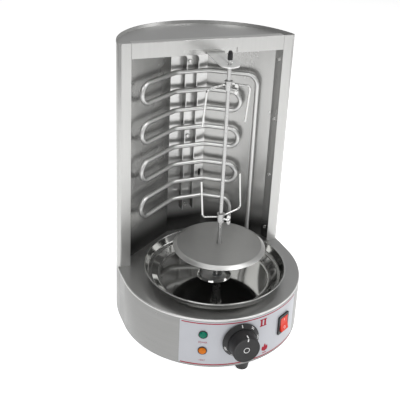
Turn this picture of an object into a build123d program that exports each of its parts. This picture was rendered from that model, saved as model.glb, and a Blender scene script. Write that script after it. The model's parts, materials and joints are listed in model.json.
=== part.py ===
import os
from math import copysign, cos, hypot, radians, sin, tan

from build123d import *

os.makedirs("parts", exist_ok=True)

# A small upright rotisserie oven for spit-roast meat: a round-ended base drum with the motor and
# the controls, a D-shaped housing on its rear half with a three-sided heating cavity, and a
# driven upright spit. Millimetres, +Z up, front towards -Y, and the origin on the table at the
# middle of the oven's footprint.

# Casing
sheet = 1.0  # stainless sheet
slip = 0.2  # clearance between nested sheets
drum_radius = 150.0  # both round ends of the drum, and the housing's back
drum_stretch = 28.0  # straight side between the drum's two round ends
drum_height = 86.0
foot_height = 14.0
overall_height = 480.0
flange_depth = 11.0  # folded rims of the drum's two plates
cap_rim = 3.0  # the top plate's edge, over the drum's wall
cap_round = 2.0
chord_setback = 13.0  # the housing's front, behind the centre of its round back
post_width = 22.0  # from the housing's side to the inner edge of its front post
post_round = 5.5
header_height = 24.0
header_rim = 14.0  # top fold of the header
notch_width = 90.0
notch_height = 8.5
notch_backing = 9.8  # the ceiling plate's folded front edge, behind the notch
lid_recess = 6.0
lid_rim = 8.0

# Cavity liner, in plan: half widths and distances behind the housing's front
liner_back_half = 33.0
liner_back_depth = 88.0
liner_knee_inset = 23.0  # from the drum's radius to the outer knee
liner_knee_depth = 22.8
liner_edge_inset = 15.0
liner_edge_depth = 3.0
liner_screw_pitch = 105.0
liner_screw_low = 21.0

# Heating element and its bracket
tube = 8.0
element_gap = 14.0  # tube's centre line to the liner
element_runs = 8
element_pitch = 33.5
element_low = 73.0  # lowest run above the drum
turn_left = 104.0
turn_right = 76.5
leg_outer = 98.5
leg_inner = 70.5
leg_bend = 18.0
knee_bend = 20.0
leg_below = 28.0  # each leg's end below the drum's top
bracket_width = 22.0
bracket_depth = 16.0
bracket_sheet = 1.2
bracket_over = 24.5  # bracket beyond the top and the bottom run
tube_slack = 0.3

# Spit and its drive
spit_forward = 29.0  # spit's axis in front of the centre of the drum's round front
rod_radius = 3.0
bore_slack = 0.05  # radial clearance of a running fit
neck_radius = 2.4
cap_radius = 3.9
cap_height = 14.0
neck_gap = 8.0  # bare neck under the cap
strap_width = 30.0
strap_sheet = 2.0
strap_hole = 3.4
strap_root = 60.0  # strap behind the housing's front
strap_turn = -6.0  # about the spit's axis
disc_radius = 75.0
disc_flat = 68.5
disc_drop = 5.0
disc_sheet = 1.5
disc_above_drum = 60.0
hub_radius = 9.0
hub_height = 8.0
socket_radius = 7.0
socket_gap = 1.0  # socket's rim below the disc's hub
socket_foot = 3.0
socket_floor = 28.0  # socket's inner floor above the drum
shaft_radius = 4.0
shaft_up = 18.0
shaft_down = 12.0
key_radius = 1.5
key_drop = 3.5
bush_radius = 6.5
bush_flange = 8.0

# Forks on the spit
wire_radius = 1.6
wire_bend = 7.0
collar_radius = 5.6
collar_rim = 6.3
collar_height = 14.5
upper_collar_z = 420.0
lower_collar_z = 199.0
prong_left = 34.0
prong_right = 36.5
prong_slope = 5.5  # from the wire's root to its corner
prong_lean = 5.0  # the tips, towards the left
screw_radius = 2.0
screw_gap = 0.3
screw_drop = 5.0  # the screw's axis from the prongs' roots
screw_turn = -50.0  # from the right-hand prong, round the collar
wing_from = 10.5  # the wings' foot from the spit's axis
wing_span = 8.5

# Drip pan
pan_radius = 115.0
pan_height = 24.0
pan_sheet = 0.8
pan_floor = 91.0
pan_ledge_in = 104.0
pan_ledge_out = 108.5
pan_ledge_height = 10.0
pan_bead = 1.1
pan_hole = 24.5
pan_hole_rise = 5.0
pan_shift = -6.0  # the loose pan lies a little left of the spit

# Controls, at angles round the drum's front, counted from straight ahead
label_sheet = 0.3
label_from = -40.5
label_to = 42.0
label_margin = 4.0
knob_angle = -4.5
knob_height = 48.0  # above the drum's lower edge
knob_stand = 1.0
dial_radius = 29.5
dial_top = 26.5
dial_thickness = 6.0
cap_grip = 22.4
cap_grip_end = 21.4
grip_length = 20.0
grip_chamfer = 0.8
spindle_radius = 3.0
lamp_angle = -26.6
lamp_heights = {"green": 60.0, "orange": 30.7}
lamp_radius = 6.4
lamp_barrel = 5.0
lamp_proud = 4.0
switch_angle = 27.5
switch_height = 46.5
switch_wide = 26.0
switch_tall = 33.0
switch_proud = 2.5
switch_border = 2.8
switch_depth = 24.0
rocker_lean = -8.0  # its lower end stands out

# Fasteners, motor, inlet
case_screw_angles = (-55, 22, 60)  # round the drum's back
screw_shank = 1.5
screw_head = 3.4
screw_dome = 2.0
motor_radius = 30.0
motor_height = 42.0
ear_thickness = 3.0
bracket_plate = 1.5
gland_angle = 35.0
gland_height = 30.0
gland_radius = 9.0
cord_radius = 3.5
foot_top = 12.0
foot_tip = 10.0
foot_inset = 12.5

# Derived places
knob_turn = radians(knob_angle)
knob_face = knob_stand + dial_thickness + grip_length
knob_edge = (cap_grip_end - grip_chamfer) * abs(sin(knob_turn))
knob_reach = (drum_radius + knob_face) * cos(knob_turn) + knob_edge - drum_radius
y_mid = knob_reach / 2
y_front = y_mid - drum_stretch / 2
y_rear = y_mid + drum_stretch / 2
y_chord = y_rear + chord_setback
y_spit = y_front - spit_forward
drum_top = foot_height + drum_height
housing_height = overall_height - drum_top
header_low = overall_height - header_height
mouth_half = drum_radius - post_width
y_liner = y_chord + liner_back_depth
disc_top = drum_top + disc_above_drum
socket_top = disc_top - disc_sheet - hub_height - socket_gap
strap_low = header_low + sheet + slip
rod_top = strap_low - slip
y_run = y_liner - element_gap


def save(part, name):
    part.part.label = name
    export_step(part.part, f"parts/{name}.step")


def drum_plane(z):
    return Plane((0, y_mid, z))


def drum_outline(inset, mode=Mode.ADD):
    """Adds the drum's round-ended outline, moved in by inset, to the sketch being built."""
    SlotCenterToCenter(drum_stretch, 2 * (drum_radius - inset), rotation=90, mode=mode)


def housing_plane(z):
    return Plane((0, y_rear, z))


def housing_outline(inset):
    """Adds the housing's D-shaped outline, moved in by inset, to the sketch being built."""
    Circle(drum_radius - inset)
    with Locations((0, chord_setback + inset)):
        side = 2 * drum_radius
        Rectangle(side, side, align=(Align.CENTER, Align.MIN), mode=Mode.INTERSECT)
    fillet(vertices(), post_round - inset)


def on_front(angle, stand, z):
    """Plane facing out of the drum's round front, stand beyond the drum's surface."""
    a = radians(angle)
    r = drum_radius + stand
    return Plane((r * sin(a), y_front - r * cos(a), z), x_dir=(cos(a), sin(a), 0), z_dir=(sin(a), -cos(a), 0))


def on_back(angle, stand, z):
    """Plane facing out of the drum's round back, stand beyond the drum's surface."""
    a = radians(angle)
    r = drum_radius + stand
    return Plane((r * sin(a), y_rear + r * cos(a), z), x_dir=(-cos(a), sin(a), 0), z_dir=(sin(a), cos(a), 0))


def bored(plane, radius, length):
    """Cuts a round hole, half to each side of the plane, in the part being built."""
    with BuildSketch(plane) as hole:
        Circle(radius)
    extrude(hole.sketch, amount=length / 2, both=True, mode=Mode.SUBTRACT)


def domed_screw(plane, length):
    """Adds a pan-head screw whose head stands on the plane, with its shank behind it."""
    with BuildSketch(plane) as disc:
        Circle(screw_head)
    head = extrude(disc.sketch, amount=screw_dome)
    rims = head.edges().filter_by(GeomType.CIRCLE)
    fillet(rims.sort_by(lambda rim: (rim.arc_center - plane.origin).length)[-1], 1.2)
    with BuildSketch(plane) as shank:
        Circle(screw_shank)
    extrude(shank.sketch, amount=-length)
    with BuildSketch(plane.offset(screw_dome)) as slot:
        Rectangle(2 * screw_head, 0.9)
    extrude(slot.sketch, amount=-0.8, mode=Mode.SUBTRACT)


def parallel(points, gap):
    """The open outline through points, moved gap to its left, with mitred corners."""
    turns = []
    for a, b in zip(points, points[1:]):
        span = hypot(b[0] - a[0], b[1] - a[1])
        turns.append(((b[0] - a[0]) / span, (b[1] - a[1]) / span))
    moved = []
    for i, (x, y) in enumerate(points):
        before = turns[max(i - 1, 0)]
        after = turns[min(i, len(turns) - 1)]
        reach = gap / (1 + before[0] * after[0] + before[1] * after[1])
        moved.append((x - (before[1] + after[1]) * reach, y + (before[0] + after[0]) * reach))
    return moved


liner_half = [
    (drum_radius - liner_edge_inset, y_chord + liner_edge_depth),
    (drum_radius - liner_knee_inset, y_chord + liner_knee_depth),
    (liner_back_half, y_liner),
]
liner_line = liner_half + [(-x, y) for x, y in reversed(liner_half)]
element_line = parallel(liner_line, element_gap)
knee_x, knee_y = element_line[2]
slope = (knee_y - element_line[1][1]) / (element_line[1][0] - knee_x)


def on_element(x, z):
    """The point of the element's centre surface at x, on one of its three sides."""
    return (x, knee_y - slope * max(abs(x) - knee_x, 0), z)


def liner_screw_planes():
    """Planes of the screws through the liner's two side flanges, facing the cavity."""
    (x0, y0), (x1, y1) = liner_half[0], liner_half[1]
    span = hypot(x1 - x0, y1 - y0)
    out = ((y0 - y1) / span, (x1 - x0) / span)
    x, y = x0 + 0.6 * (x1 - x0), y0 + 0.6 * (y1 - y0)
    for row in range(4):
        z = drum_top + liner_screw_low + row * liner_screw_pitch
        for side in (1, -1):
            yield Plane((side * x, y, z), x_dir=(0, 0, 1), z_dir=(side * out[0], out[1], 0))


bracket_screw_heights = [
    drum_top + element_low - 20.0,
    drum_top + element_low + 3.4 * element_pitch,
    drum_top + element_low + (element_runs - 1) * element_pitch + 14.0,
]
bracket_face = y_liner - slip - bracket_sheet
bracket_screw_planes = [
    Plane((0, bracket_face, z), x_dir=(1, 0, 0), z_dir=(0, -1, 0))
    for z in bracket_screw_heights
]
case_screw_planes = [
    on_back(angle, 0.1, z)
    for angle in case_screw_angles
    for z in (foot_height + flange_depth / 2, drum_top - flange_depth / 2 - 1.5)
]
foot_places = [
    ((drum_radius - foot_inset) * sin(radians(a)), -(drum_radius - foot_inset) * cos(radians(a)))
    for a in (0, 120, 240)
]


def foot_plane(place, z):
    centre = y_front if place[1] < 0 else y_rear
    return Plane((place[0], centre + place[1], z))


# --- Base drum ---------------------------------------------------------------------------------
with BuildPart() as base_shell:
    with BuildSketch(drum_plane(foot_height)):
        drum_outline(0)
        drum_outline(sheet, Mode.SUBTRACT)
    extrude(amount=drum_height - cap_rim)
    bored(on_front(knob_angle, 0, foot_height + knob_height), spindle_radius + 0.8, 12)
    for height in lamp_heights.values():
        bored(on_front(lamp_angle, 0, foot_height + height), lamp_barrel + slip, 12)
    with BuildSketch(on_front(switch_angle, 0, foot_height + switch_height)):
        Rectangle(switch_wide - 2 * switch_border + slip, switch_tall - 2 * switch_border + slip)
    extrude(amount=6, both=True, mode=Mode.SUBTRACT)
    bored(on_back(gland_angle, 0, foot_height + gland_height), gland_radius - 2 + slip, 12)
    for plane in case_screw_planes:
        bored(plane, screw_shank + slip, 6)
    for angle in (-30, -22, -14, -6, 2, 10, 18):
        with BuildSketch(on_back(angle, 0, drum_top - 34)):
            SlotOverall(20, 4, rotation=90)
        extrude(amount=6, both=True, mode=Mode.SUBTRACT)
save(base_shell, "base_shell")

with BuildPart() as base_top_plate:
    with BuildSketch(drum_plane(drum_top)):
        drum_outline(sheet + slip)
    extrude(amount=-flange_depth)
    with BuildSketch(drum_plane(drum_top)):
        drum_outline(0)
    extrude(amount=-cap_rim)
    fillet(base_top_plate.faces().sort_by(Axis.Z)[-1].edges(), cap_round)
    with BuildSketch(drum_plane(drum_top - sheet)):
        drum_outline(2 * sheet + slip)
    extrude(amount=-flange_depth, mode=Mode.SUBTRACT)
    bored(Plane((0, y_spit, drum_top)), bush_radius + slip, 6)
    for x in (leg_outer, leg_inner):
        bored(Plane(on_element(x, drum_top)), tube / 2 + 2 + slip, 6)
    for plane in case_screw_planes:
        if plane.origin.Z > drum_top - flange_depth:
            bored(plane, screw_shank + slip, 8)
save(base_top_plate, "base_top_plate")

with BuildPart() as bottom_plate:
    with BuildSketch(drum_plane(foot_height)):
        drum_outline(sheet + slip)
    extrude(amount=flange_depth)
    with BuildSketch(drum_plane(foot_height + sheet)):
        drum_outline(2 * sheet + slip)
    extrude(amount=flange_depth, mode=Mode.SUBTRACT)
    for place in foot_places:
        bored(foot_plane(place, foot_height), 2.0 + slip, 6)
    with BuildSketch(Plane((0, y_spit, foot_height))):
        with PolarLocations(34, 12):
            SlotOverall(22, 4)
    extrude(amount=3, both=True, mode=Mode.SUBTRACT)
    for plane in case_screw_planes:
        if plane.origin.Z < foot_height + flange_depth:
            bored(plane, screw_shank + slip, 8)
save(bottom_plate, "bottom_plate")

with BuildPart() as rubber_feet:
    for place in foot_places:
        with BuildSketch(foot_plane(place, foot_height)):
            Circle(foot_top)
        with BuildSketch(foot_plane(place, 0)):
            Circle(foot_tip)
        loft()
    for place in foot_places:
        bored(foot_plane(place, foot_height), 2.0 + slip, 2 * foot_height)
        bored(foot_plane(place, 0), 4.5, 2 * (foot_height - 5.0))
save(rubber_feet, "rubber_feet")

with BuildPart() as foot_screws:
    for place in foot_places:
        with BuildSketch(foot_plane(place, foot_height - 5.0)):
            Circle(3.8)
        extrude(amount=-2.4)
        with BuildSketch(foot_plane(place, foot_height - 5.0)):
            Circle(2.0)
        extrude(amount=10.0)
        with BuildSketch(foot_plane(place, foot_height + sheet)):
            RegularPolygon(4.0, 6)
            Circle(2.0, mode=Mode.SUBTRACT)
        extrude(amount=3.0)
save(foot_screws, "foot_screws")

with BuildPart() as case_screws:
    for plane in case_screw_planes:
        domed_screw(plane, 2 * sheet + 4)
save(case_screws, "case_screws")

# --- Housing -----------------------------------------------------------------------------------
with BuildPart() as housing_shell:
    with BuildSketch(housing_plane(drum_top)):
        housing_outline(0)
    extrude(amount=housing_height)
    with BuildSketch(housing_plane(drum_top)):
        housing_outline(sheet)
    extrude(amount=housing_height, mode=Mode.SUBTRACT)
    with BuildSketch(Plane((0, y_chord, drum_top))):
        Rectangle(2 * mouth_half, 4 * sheet)
    extrude(amount=housing_height, mode=Mode.SUBTRACT)
save(housing_shell, "housing_shell")

with BuildPart() as header_band:
    header_half = mouth_half - slip
    with BuildSketch(Plane((0, y_chord, header_low))):
        Rectangle(2 * header_half, sheet, align=(Align.CENTER, Align.MIN))
    extrude(amount=header_height)
    with BuildSketch(Plane((0, y_chord, overall_height))):
        Rectangle(2 * header_half, header_rim, align=(Align.CENTER, Align.MIN))
    extrude(amount=-sheet)
    with BuildSketch(Plane((0, y_chord, header_low), x_dir=(1, 0, 0), z_dir=(0, -1, 0))):
        Rectangle(notch_width, 2 * notch_height)
    extrude(amount=2 * sheet, both=True, mode=Mode.SUBTRACT)
    fillet(header_band.edges().filter_by(Axis.X).group_by(Axis.Y)[0].sort_by(Axis.Z)[-1], 0.8)
save(header_band, "header_band")

with BuildPart() as top_lid:
    lid_z = overall_height - lid_recess
    with BuildSketch(housing_plane(lid_z)):
        housing_outline(sheet + slip)
    extrude(amount=-lid_rim)
    with BuildSketch(housing_plane(lid_z - sheet)):
        housing_outline(2 * sheet + slip)
    extrude(amount=-lid_rim, mode=Mode.SUBTRACT)
save(top_lid, "top_lid")

with BuildPart() as ceiling_plate:
    with BuildSketch(housing_plane(header_low)):
        housing_outline(sheet + slip)
    extrude(amount=sheet)
    with BuildSketch(Plane((0, y_chord + sheet + slip, header_low))):
        Rectangle(notch_width + 20, sheet, align=(Align.CENTER, Align.MIN))
    extrude(amount=notch_backing)
    strap_x = (y_chord - y_spit) * tan(radians(-strap_turn))
    with BuildSketch(Plane((strap_x, y_chord, header_low + sheet))):
        Rectangle(strap_width + 2.5, 6 * sheet)
    extrude(amount=strap_sheet + 3 * slip, mode=Mode.SUBTRACT)
save(ceiling_plate, "ceiling_plate")

with BuildPart() as cavity_liner:
    with BuildSketch(Plane.XY.offset(drum_top)):
        with BuildLine():
            Polyline(*liner_line, *reversed(parallel(liner_line, -sheet)), close=True)
        make_face()
    extrude(amount=header_low - drum_top)
    for plane in liner_screw_planes():
        bored(plane, screw_shank + slip, 6)
    for plane in bracket_screw_planes:
        bored(plane, screw_shank + slip, 12)
    with BuildSketch(Plane((26.0, y_liner, drum_top + 112), x_dir=(1, 0, 0), z_dir=(0, -1, 0))):
        SlotOverall(14, 4, rotation=90)
    extrude(amount=3, both=True, mode=Mode.SUBTRACT)
save(cavity_liner, "cavity_liner")

with BuildPart() as liner_screws:
    for plane in liner_screw_planes():
        domed_screw(plane, sheet + 4)
save(liner_screws, "liner_screws")

# --- Heating element ---------------------------------------------------------------------------
rows = [drum_top + element_low + element_pitch * i for i in reversed(range(element_runs))]
leg_end = drum_top - leg_below
stops = [on_element(leg_outer, leg_end), on_element(leg_outer, rows[0])]
bends = [leg_bend]
turn_bend = element_pitch / 2 - 0.05
for number, z in enumerate(rows):
    leftward = number % 2 == 0
    knees = [(knee_x, knee_y, z), (-knee_x, knee_y, z)]
    if number:
        stops.append(on_element(turn_right if leftward else -turn_left, z))
        bends.append(turn_bend)
    stops += knees if leftward else knees[::-1]
    bends += [knee_bend, knee_bend]
    if number < element_runs - 1:
        stops.append(on_element(-turn_left if leftward else turn_right, z))
        bends.append(turn_bend)
stops += [on_element(leg_inner, rows[-1]), on_element(leg_inner, leg_end)]
bends.append(leg_bend)

with BuildPart() as heating_element:
    with BuildLine() as element_path:
        FilletPolyline(*stops, radius=bends)
    with BuildSketch(Plane(stops[0])):
        Circle(tube / 2)
    sweep(path=element_path.line)
save(heating_element, "heating_element")

with BuildPart() as element_glands:
    for x in (leg_outer, leg_inner):
        with BuildSketch(Plane(on_element(x, drum_top))):
            RegularPolygon(8.5, 6)
        extrude(amount=3)
        with BuildSketch(Plane(on_element(x, drum_top))):
            Circle(tube / 2 + 2)
        extrude(amount=-8)
        bored(Plane(on_element(x, drum_top)), tube / 2 + bore_slack, 40)
save(element_glands, "element_glands")

with BuildPart() as element_terminals:
    for x in (leg_outer, leg_inner):
        with BuildSketch(Plane(on_element(x, leg_end))):
            Circle(tube / 2 - 0.5)
        extrude(amount=-7)
        with BuildSketch(Plane(on_element(x, leg_end - 7))):
            Circle(1.5)
        extrude(amount=-10)
save(element_terminals, "element_terminals")

with BuildPart() as element_bracket:
    bracket_low = rows[-1] - bracket_over
    bracket_high = rows[0] + bracket_over
    with BuildSketch(Plane((0, y_liner - slip, bracket_low))):
        Rectangle(bracket_width, bracket_depth, align=(Align.CENTER, Align.MAX))
        with Locations((0, -bracket_sheet)):
            inner = bracket_width - 2 * bracket_sheet
            Rectangle(inner, bracket_depth, align=(Align.CENTER, Align.MAX), mode=Mode.SUBTRACT)
    extrude(amount=bracket_high - bracket_low)
    fillet(element_bracket.edges().filter_by(Axis.X).group_by(Axis.Z)[-1].group_by(Axis.Y)[0], 8)
    for upper, lower in zip(rows[::2], rows[1::2]):
        with BuildSketch(Plane((0, y_run, (upper + lower) / 2), x_dir=(0, 1, 0), z_dir=(1, 0, 0))):
            width = tube + 2 * tube_slack
            SlotOverall(upper - lower + width, width, rotation=90)
        extrude(amount=bracket_width, both=True, mode=Mode.SUBTRACT)
    for plane in bracket_screw_planes:
        bored(plane, screw_shank + slip, 6)
save(element_bracket, "element_bracket")

with BuildPart() as bracket_screws:
    for plane in bracket_screw_planes:
        domed_screw(plane, 7)
save(bracket_screws, "bracket_screws")

# --- Top support of the spit -------------------------------------------------------------------
strap_plane = Plane((0, y_spit, strap_low)).rotated((0, 0, strap_turn))
strap_length = y_chord + strap_root - y_spit
strap_screw_planes = [
    Plane(strap_plane.from_local_coords(Vector(0, strap_length - back, strap_sheet)), z_dir=(0, 0, 1))
    for back in (10, 40)
]
with BuildPart() as support_strap:
    with BuildSketch(strap_plane):
        Circle(strap_width / 2)
        Rectangle(strap_width, strap_length, align=(Align.CENTER, Align.MIN))
        Circle(strap_hole, mode=Mode.SUBTRACT)
    extrude(amount=strap_sheet)
    for plane in strap_screw_planes:
        bored(plane, screw_shank + slip, 10)
save(support_strap, "support_strap")

with BuildPart() as strap_screws:
    for plane in strap_screw_planes:
        domed_screw(plane, strap_sheet)
save(strap_screws, "strap_screws")

# --- Drive -------------------------------------------------------------------------------------
with BuildPart() as motor_bracket:
    with BuildSketch(Plane((0, y_spit, drum_top - sheet))):
        RectangleRounded(2 * motor_radius + 24, 44, 4)
        Circle(bush_radius + slip, mode=Mode.SUBTRACT)
        with Locations((-motor_radius - 6, 0), (motor_radius + 6, 0)):
            Circle(screw_shank + slip, mode=Mode.SUBTRACT)
    extrude(amount=-bracket_plate)
save(motor_bracket, "motor_bracket")

motor_top = drum_top - sheet - bracket_plate
with BuildPart() as gear_motor:
    with BuildSketch(Plane((0, y_spit, motor_top))):
        SlotOverall(2 * motor_radius + 24, 20)
    extrude(amount=-ear_thickness)
    with BuildSketch(Plane((0, y_spit, motor_top))):
        Circle(motor_radius)
    extrude(amount=-motor_height)
    fillet(gear_motor.faces().sort_by(Axis.Z)[0].edges(), 3)
    with BuildSketch(Plane((0, y_spit, motor_top))):
        Circle(shaft_radius + bore_slack)
    extrude(amount=-shaft_down, mode=Mode.SUBTRACT)
    for x in (-motor_radius - 6, motor_radius + 6):
        bored(Plane((x, y_spit, motor_top)), screw_shank + slip, 12)
save(gear_motor, "gear_motor")

with BuildPart() as motor_screws:
    for x in (-motor_radius - 6, motor_radius + 6):
        seat = Plane((x, y_spit, motor_top - ear_thickness), x_dir=(1, 0, 0), z_dir=(0, 0, -1))
        domed_screw(seat, ear_thickness + bracket_plate)
save(motor_screws, "motor_screws")

with BuildPart() as shaft_bush:
    with BuildSketch(Plane((0, y_spit, drum_top))):
        Circle(bush_flange)
    extrude(amount=1.2)
    with BuildSketch(Plane((0, y_spit, drum_top))):
        Circle(bush_radius)
    extrude(amount=-sheet - bracket_plate)
    bored(Plane((0, y_spit, drum_top)), shaft_radius + bore_slack, 20)
save(shaft_bush, "shaft_bush")

with BuildPart() as drive_shaft:
    with BuildSketch(Plane((0, y_spit, drum_top + shaft_up))):
        Circle(shaft_radius)
    extrude(amount=-shaft_up - sheet - bracket_plate - shaft_down + 1)
    chamfer(drive_shaft.edges().filter_by(GeomType.CIRCLE), 0.5)
save(drive_shaft, "drive_shaft")

with BuildPart() as drive_socket:
    with BuildSketch(Plane((0, y_spit, drum_top + socket_foot))):
        Circle(socket_radius)
    extrude(amount=socket_top - drum_top - socket_foot)
    chamfer(drive_socket.edges().filter_by(GeomType.CIRCLE), 0.6)
    with BuildSketch(Plane((0, y_spit, drum_top + socket_foot))):
        Circle(shaft_radius + bore_slack)
    extrude(amount=shaft_up - socket_foot + slip, mode=Mode.SUBTRACT)
    with BuildSketch(Plane((0, y_spit, socket_top))):
        Circle(rod_radius + bore_slack)
    extrude(amount=-(socket_top - drum_top - socket_floor), mode=Mode.SUBTRACT)
    with BuildSketch(Plane((0, y_spit, socket_top))):
        Rectangle(3 * socket_radius, 2 * (key_radius + bore_slack))
    extrude(amount=-key_drop - key_radius - slip, mode=Mode.SUBTRACT)
save(drive_socket, "drive_socket")

# --- Spit --------------------------------------------------------------------------------------
rod_low = drum_top + socket_floor + 1.0
with BuildPart() as spit_rod:
    with BuildSketch(Plane((0, y_spit, rod_low))):
        Circle(rod_radius)
    extrude(amount=rod_top - rod_low)
    chamfer(spit_rod.edges().filter_by(GeomType.CIRCLE), 0.5)
    with BuildSketch(Plane((0, y_spit, rod_top))):
        Circle(neck_radius)
    extrude(amount=overall_height - cap_height / 2 - rod_top)
    bored(Plane((0, y_spit, socket_top - key_drop), x_dir=(0, 1, 0), z_dir=(1, 0, 0)), key_radius, 20)
    bored(Plane((0, y_spit, strap_low + strap_sheet + 2.5), x_dir=(0, 1, 0), z_dir=(1, 0, 0)), 0.9, 20)
save(spit_rod, "spit_rod")

with BuildPart() as drive_key:
    with BuildSketch(Plane((0, y_spit, socket_top - key_drop), x_dir=(0, 1, 0), z_dir=(1, 0, 0))):
        Circle(key_radius - 0.02)
    extrude(amount=socket_radius - 0.6, both=True)
save(drive_key, "drive_key")

with BuildPart() as neck_pin:
    with BuildSketch(Plane((0, y_spit, strap_low + strap_sheet + 2.5), x_dir=(0, 1, 0), z_dir=(1, 0, 0))):
        Circle(0.88)
    extrude(amount=4.6, both=True)
save(neck_pin, "neck_pin")

with BuildPart() as spit_cap:
    with BuildSketch(Plane((0, y_spit, overall_height - cap_height))):
        Circle(cap_radius)
    extrude(amount=cap_height)
    fillet(spit_cap.faces().sort_by(Axis.Z)[-1].edges(), 2.4)
    chamfer(spit_cap.faces().sort_by(Axis.Z)[0].edges(), 0.5)
    with BuildSketch(Plane((0, y_spit, overall_height - cap_height))):
        Circle(neck_radius + 0.02)
    extrude(amount=cap_height / 2 + 0.1, mode=Mode.SUBTRACT)
save(spit_cap, "spit_cap")

with BuildPart() as meat_disc:
    with BuildSketch(Plane((0, y_spit, 0), x_dir=(1, 0, 0), z_dir=(0, -1, 0))):
        with BuildLine():
            skin = disc_sheet
            Polyline(
                (rod_radius + 0.02, disc_top),
                (disc_flat, disc_top),
                (disc_radius, disc_top - disc_drop),
                (disc_radius - skin, disc_top - disc_drop),
                (disc_flat - skin / 2, disc_top - skin),
                (rod_radius + 0.02, disc_top - skin),
                close=True,
            )
        make_face()
    revolve(axis=Axis((0, y_spit, 0), (0, 0, 1)))
save(meat_disc, "meat_disc")

with BuildPart() as disc_hub:
    with BuildSketch(Plane((0, y_spit, disc_top - disc_sheet))):
        Circle(hub_radius)
    extrude(amount=-hub_height)
    chamfer(disc_hub.faces().sort_by(Axis.Z)[0].edges(), 1.0)
    with BuildSketch(Plane((0, y_spit, disc_top))):
        Circle(rod_radius + 1.2)
    extrude(amount=2.0)
    with BuildSketch(Plane((0, y_spit, disc_top))):
        Circle(hub_radius + 2)
    extrude(amount=-disc_sheet, mode=Mode.SUBTRACT)
    bored(Plane((0, y_spit, disc_top)), rod_radius + 0.02, 60)
save(disc_hub, "disc_hub")


def fork(name, low, wires_up, length, turn):
    """Writes a fork: its collar, its two prongs and its wing screw.

    The collar stands on low, the prongs leave it wires_up above low and end length above that
    (below it where length is negative), and the whole fork is turned about the spit by turn degrees.
    """
    base = Plane((0, y_spit, low)).rotated((0, 0, turn))
    roots = [Plane(base.from_local_coords(Vector(0, 0, wires_up)), z_dir=end * base.x_dir) for end in (1, -1)]
    screw_base = base.rotated((0, 0, screw_turn))
    screw_seat = screw_base.from_local_coords(Vector(0, 0, wires_up - screw_drop))
    screw_axis = Plane(screw_seat, z_dir=screw_base.x_dir)

    with BuildPart() as collar:
        with BuildSketch(base):
            Circle(collar_radius)
        extrude(amount=collar_height)
        with BuildSketch(base.offset(collar_height)):
            Circle(collar_rim)
        extrude(amount=-1.6)
        bored(base, rod_radius + bore_slack, 4 * collar_height)
        with BuildSketch(screw_axis):
            Circle(screw_radius + bore_slack)
        extrude(amount=2 * collar_radius, mode=Mode.SUBTRACT)
        for root in roots:
            with BuildSketch(root.offset(collar_radius - 1.0)):
                Circle(wire_radius)
            extrude(amount=4, mode=Mode.SUBTRACT)
    save(collar, f"{name}_collar")

    with BuildPart() as prongs:
        for corner, root in zip((prong_right, -prong_left), roots):
            start = copysign(collar_radius - 0.9, corner)
            route = [
                Vector(start, 0, wires_up),
                Vector(2 * start, 0, wires_up),
                Vector(corner, 0, wires_up + copysign(prong_slope, length)),
                Vector(corner - prong_lean, 0, wires_up + length),
            ]
            with BuildLine() as wire:
                FilletPolyline(*[base.from_local_coords(place) for place in route], radius=[3, wire_bend])
            with BuildSketch(root.offset(collar_radius - 0.9)):
                Circle(wire_radius - 0.02)
            sweep(path=wire.line)
    save(prongs, f"{name}_prongs")

    with BuildPart() as wing_screw:
        with BuildSketch(screw_axis.offset(rod_radius + screw_gap)):
            Circle(screw_radius)
        extrude(amount=wing_from - rod_radius - screw_gap)
        with BuildSketch(screw_axis.offset(wing_from)):
            Circle(3.0)
        extrude(amount=4.5)
        wing_seat = screw_axis.offset(wing_from + 3.0).origin
        wings = Plane(wing_seat, x_dir=screw_base.x_dir, z_dir=screw_base.y_dir)
        with BuildSketch(wings):
            with Locations((0, wing_span / 2), (0, -wing_span / 2)):
                Ellipse(2.8, wing_span / 2)
        extrude(amount=0.9, both=True)
    save(wing_screw, f"{name}_wing_screw")


fork("upper_fork", upper_collar_z, 8.5, -62.0, 0)
fork("lower_fork", lower_collar_z, 10.5, 68.0, 8)

# --- Drip pan ----------------------------------------------------------------------------------
pan_axis = Axis((pan_shift, y_spit, 0), (0, 0, 1))
pan_section = Plane((pan_shift, y_spit, 0), x_dir=(1, 0, 0), z_dir=(0, -1, 0))
pan_top = drum_top + pan_height
with BuildPart() as drip_pan:
    with BuildSketch(pan_section):
        with BuildLine():
            inside = [
                (pan_hole, drum_top + pan_hole_rise),
                (pan_hole + 2.0, drum_top + pan_sheet),
                (pan_floor, drum_top + pan_sheet),
                (pan_ledge_in, drum_top + pan_ledge_height),
                (pan_ledge_out, drum_top + pan_ledge_height + 0.5),
                (pan_radius - pan_bead, pan_top - pan_bead),
            ]
            under = parallel(inside, -pan_sheet)
            Polyline(*inside, *reversed(under), close=True)
        make_face()
    revolve(axis=pan_axis)
    with BuildSketch(pan_section):
        with Locations((pan_radius - pan_bead, pan_top - pan_bead)):
            Circle(pan_bead)
    revolve(axis=pan_axis)
save(drip_pan, "drip_pan")

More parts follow.
